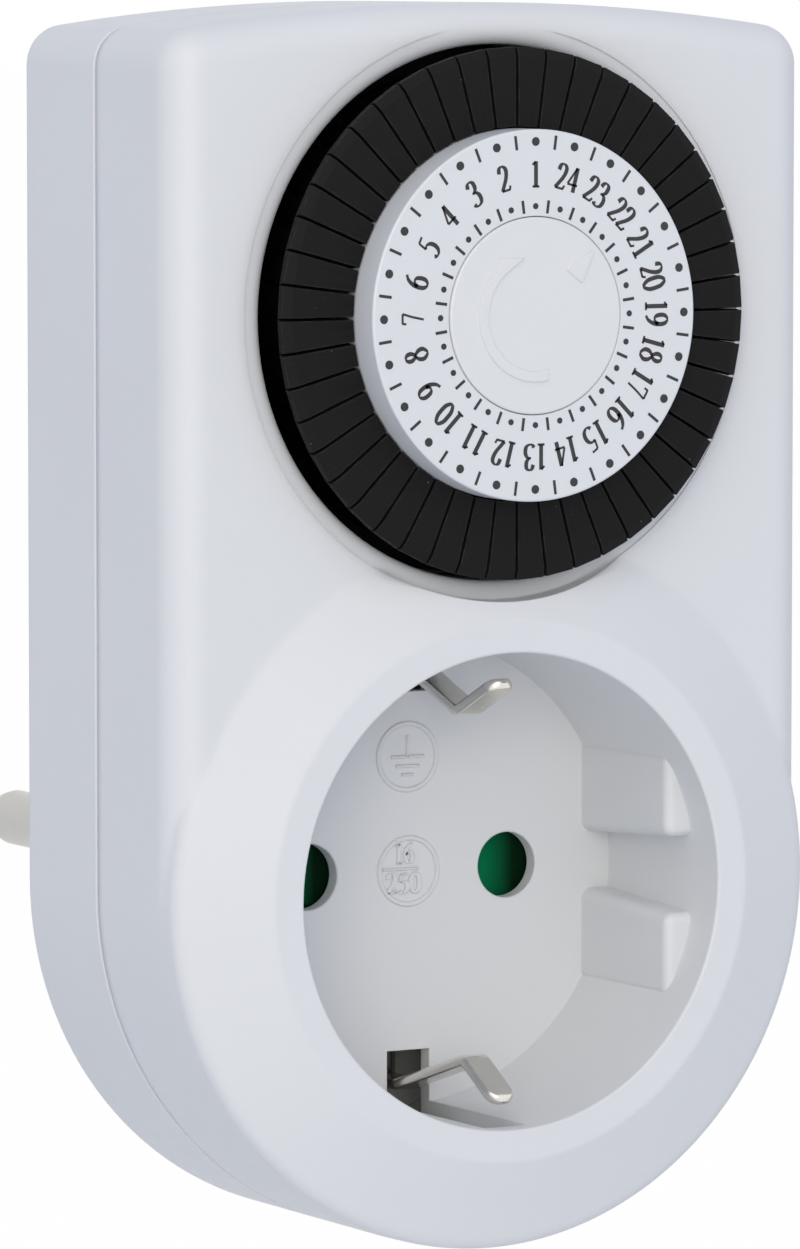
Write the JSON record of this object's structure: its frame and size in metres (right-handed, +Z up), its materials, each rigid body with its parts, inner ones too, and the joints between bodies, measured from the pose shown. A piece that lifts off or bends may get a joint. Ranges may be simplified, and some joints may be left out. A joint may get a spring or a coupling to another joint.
{
  "type": "plug-in timer switch",
  "caption": "White plug-in mechanical day timer with a ring of push-in time segments round an hour dial above a recessed side-earthed mains socket, and a matching plug behind.",
  "frame": {"origin": "midway between the two plug pins, on the face of the plug that they stand out of", "axes": "+X to the right seen from the front, +Y into the wall along the plug pins, +Z up from the socket to the dial"},
  "size_m": [0.0609, 0.0763, 0.1019],
  "materials": {
    "shell_white": "white ABS moulding, fine spark-eroded texture with a slight sheen",
    "dial_white": "bluish white moulding, smooth satin, black printed hour marks and plain numbers",
    "cap_white": "white moulding, satin, raised arrow and pointer",
    "segment_charcoal": "charcoal moulding, fine scuffs",
    "shutter_green": "dark green moulding",
    "inner_plastic": "natural moulding",
    "gear_plastic": "natural acetal moulding",
    "holder_brown": "dark heat-resistant moulding",
    "override_red": "red moulding",
    "lead_blue": "insulated lead",
    "winding": "enamelled copper wire on a bobbin",
    "magnet": "pressed ferrite",
    "nickel": "nickel-plated brass, slightly worn",
    "steel": "zinc-plated steel",
    "copper": "bright copper strip",
    "contact_brass": "spring brass"
  },
  "bodies": {
    "root": {"front_shell": "shell_white", "rear_shell": "shell_white", "plug_body": "shell_white", "case_screws": "steel", "live_pin": "nickel", "neutral_pin": "nickel", "plug_earth_strip": "nickel", "socket_earth_clips": "nickel", "shutter_retainer": "inner_plastic", "shutter_spring": "steel", "contact_holder": "holder_brown", "live_contact": "contact_brass", "neutral_contact": "contact_brass", "live_busbar": "copper", "switched_busbar": "copper", "neutral_busbar": "copper", "lever_pin": "steel", "motor_cup": "steel", "motor_coil": "winding", "motor_plate": "steel", "motor_screws": "steel", "motor_leads": "lead_blue", "gear_axles": "steel", "dial_arbor": "steel", "centre_cap": "cap_white"},
    "drive_wheel": {"drive_wheel": "gear_plastic", "clutch_spring": "steel"},
    "dial": {"segment_carrier": "segment_charcoal", "hour_dial": "dial_white"},
    "gear_1": {"gear_1": "gear_plastic"},
    "gear_2": {"gear_2": "gear_plastic"},
    "rotor": {"rotor": "magnet"},
    "shutter": {"shutter": "shutter_green"},
    "switch_lever": {"switch_lever": "inner_plastic"},
    "switch_blade": {"switch_blade": "contact_brass"},
    "override_slide": {"override_slide": "override_red"},
    "hour_1": {"segments_hour_1": "segment_charcoal"},
    "hour_2": {"segments_hour_2": "segment_charcoal"},
    "hour_3": {"segments_hour_3": "segment_charcoal"},
    "hour_4": {"segments_hour_4": "segment_charcoal"},
    "hour_5": {"segments_hour_5": "segment_charcoal"},
    "hour_6": {"segments_hour_6": "segment_charcoal"},
    "hour_7": {"segments_hour_7": "segment_charcoal"},
    "hour_8": {"segments_hour_8": "segment_charcoal"},
    "hour_9": {"segments_hour_9": "segment_charcoal"},
    "hour_10": {"segments_hour_10": "segment_charcoal"},
    "hour_11": {"segments_hour_11": "segment_charcoal"},
    "hour_12": {"segments_hour_12": "segment_charcoal"},
    "hour_13": {"segments_hour_13": "segment_charcoal"},
    "hour_14": {"segments_hour_14": "segment_charcoal"},
    "hour_15": {"segments_hour_15": "segment_charcoal"},
    "hour_16": {"segments_hour_16": "segment_charcoal"},
    "hour_17": {"segments_hour_17": "segment_charcoal"},
    "hour_18": {"segments_hour_18": "segment_charcoal"},
    "hour_19": {"segments_hour_19": "segment_charcoal"},
    "hour_20": {"segments_hour_20": "segment_charcoal"},
    "hour_21": {"segments_hour_21": "segment_charcoal"},
    "hour_22": {"segments_hour_22": "segment_charcoal"},
    "hour_23": {"segments_hour_23": "segment_charcoal"},
    "hour_24": {"segments_hour_24": "segment_charcoal"}
  },
  "joints": [
    {"name": "drive_spin", "type": "hinge", "parent": "root", "child": "drive_wheel", "pos_m": [0, -0.039, 0.047], "axis": [0, 1, 0], "continuous": true},
    {"name": "dial_set", "type": "hinge", "parent": "drive_wheel", "child": "dial", "pos_m": [0, -0.043, 0.047], "axis": [0, 1, 0], "continuous": true},
    {"name": "gear_2_spin", "type": "hinge", "parent": "root", "child": "gear_2", "pos_m": [-0.01314, -0.037, 0.042], "axis": [0, 1, 0], "continuous": true},
    {"name": "gear_1_spin", "type": "hinge", "parent": "root", "child": "gear_1", "pos_m": [-0.01345, -0.035, 0.05206], "axis": [0, 1, 0], "continuous": true},
    {"name": "rotor_spin", "type": "hinge", "parent": "root", "child": "rotor", "pos_m": [-0.004, -0.031, 0.0555], "axis": [0, 1, 0], "continuous": true},
    {"name": "shutter_turn", "type": "hinge", "parent": "root", "child": "shutter", "pos_m": [0, -0.0339, 0], "axis": [0, 1, 0], "range_deg": [0, 42], "stiffness_Nm_per_rad": 0.0008, "springref_deg": -17.19},
    {"name": "override_travel", "type": "slide", "parent": "root", "child": "override_slide", "axis": [0, 0, 1], "range_m": [0, 0.004]},
    {"name": "lever_tilt", "type": "hinge", "parent": "root", "child": "switch_lever", "pos_m": [0.0184, -0.037, 0.038], "axis": [-1, 0, 0], "range_deg": [0, 15.2]},
    {"name": "blade_lift", "type": "hinge", "parent": "root", "child": "switch_blade", "pos_m": [0.0184, -0.03905, 0.023], "axis": [1, 0, 0], "range_deg": [0, 13.12], "stiffness_Nm_per_rad": 0.0004},
    {"name": "hour_1_push", "type": "slide", "parent": "dial", "child": "hour_1", "axis": [0, 1, 0], "range_m": [0, 0.003]},
    {"name": "hour_2_push", "type": "slide", "parent": "dial", "child": "hour_2", "axis": [0, 1, 0], "range_m": [0, 0.003]},
    {"name": "hour_3_push", "type": "slide", "parent": "dial", "child": "hour_3", "axis": [0, 1, 0], "range_m": [0, 0.003]},
    {"name": "hour_4_push", "type": "slide", "parent": "dial", "child": "hour_4", "axis": [0, 1, 0], "range_m": [0, 0.003]},
    {"name": "hour_5_push", "type": "slide", "parent": "dial", "child": "hour_5", "axis": [0, 1, 0], "range_m": [0, 0.003]},
    {"name": "hour_6_push", "type": "slide", "parent": "dial", "child": "hour_6", "axis": [0, 1, 0], "range_m": [0, 0.003]},
    {"name": "hour_7_push", "type": "slide", "parent": "dial", "child": "hour_7", "axis": [0, 1, 0], "range_m": [0, 0.003]},
    {"name": "hour_8_push", "type": "slide", "parent": "dial", "child": "hour_8", "axis": [0, 1, 0], "range_m": [0, 0.003]},
    {"name": "hour_9_push", "type": "slide", "parent": "dial", "child": "hour_9", "axis": [0, 1, 0], "range_m": [0, 0.003]},
    {"name": "hour_10_push", "type": "slide", "parent": "dial", "child": "hour_10", "axis": [0, 1, 0], "range_m": [0, 0.003]},
    {"name": "hour_11_push", "type": "slide", "parent": "dial", "child": "hour_11", "axis": [0, 1, 0], "range_m": [0, 0.003]},
    {"name": "hour_12_push", "type": "slide", "parent": "dial", "child": "hour_12", "axis": [0, 1, 0], "range_m": [0, 0.003]},
    {"name": "hour_13_push", "type": "slide", "parent": "dial", "child": "hour_13", "axis": [0, 1, 0], "range_m": [0, 0.003]},
    {"name": "hour_14_push", "type": "slide", "parent": "dial", "child": "hour_14", "axis": [0, 1, 0], "range_m": [0, 0.003]},
    {"name": "hour_15_push", "type": "slide", "parent": "dial", "child": "hour_15", "axis": [0, 1, 0], "range_m": [0, 0.003]},
    {"name": "hour_16_push", "type": "slide", "parent": "dial", "child": "hour_16", "axis": [0, 1, 0], "range_m": [0, 0.003]},
    {"name": "hour_17_push", "type": "slide", "parent": "dial", "child": "hour_17", "axis": [0, 1, 0], "range_m": [0, 0.003]},
    {"name": "hour_18_push", "type": "slide", "parent": "dial", "child": "hour_18", "axis": [0, 1, 0], "range_m": [0, 0.003]},
    {"name": "hour_19_push", "type": "slide", "parent": "dial", "child": "hour_19", "axis": [0, 1, 0], "range_m": [0, 0.003]},
    {"name": "hour_20_push", "type": "slide", "parent": "dial", "child": "hour_20", "axis": [0, 1, 0], "range_m": [0, 0.003]},
    {"name": "hour_21_push", "type": "slide", "parent": "dial", "child": "hour_21", "axis": [0, 1, 0], "range_m": [0, 0.003]},
    {"name": "hour_22_push", "type": "slide", "parent": "dial", "child": "hour_22", "axis": [0, 1, 0], "range_m": [0, 0.003]},
    {"name": "hour_23_push", "type": "slide", "parent": "dial", "child": "hour_23", "axis": [0, 1, 0], "range_m": [0, 0.003]},
    {"name": "hour_24_push", "type": "slide", "parent": "dial", "child": "hour_24", "axis": [0, 1, 0], "range_m": [0, 0.003]}
  ],
  "couplings": [
    {"joint": "gear_2_spin", "follows": "drive_spin", "ratio": -6},
    {"joint": "gear_1_spin", "follows": "drive_spin", "ratio": 24},
    {"joint": "rotor_spin", "follows": "drive_spin", "ratio": -96},
    {"joint": "lever_tilt", "follows": "hour_19_push", "rad_per_m": 87.266},
    {"joint": "blade_lift", "follows": "hour_19_push", "rad_per_m": 75.145}
  ]
}
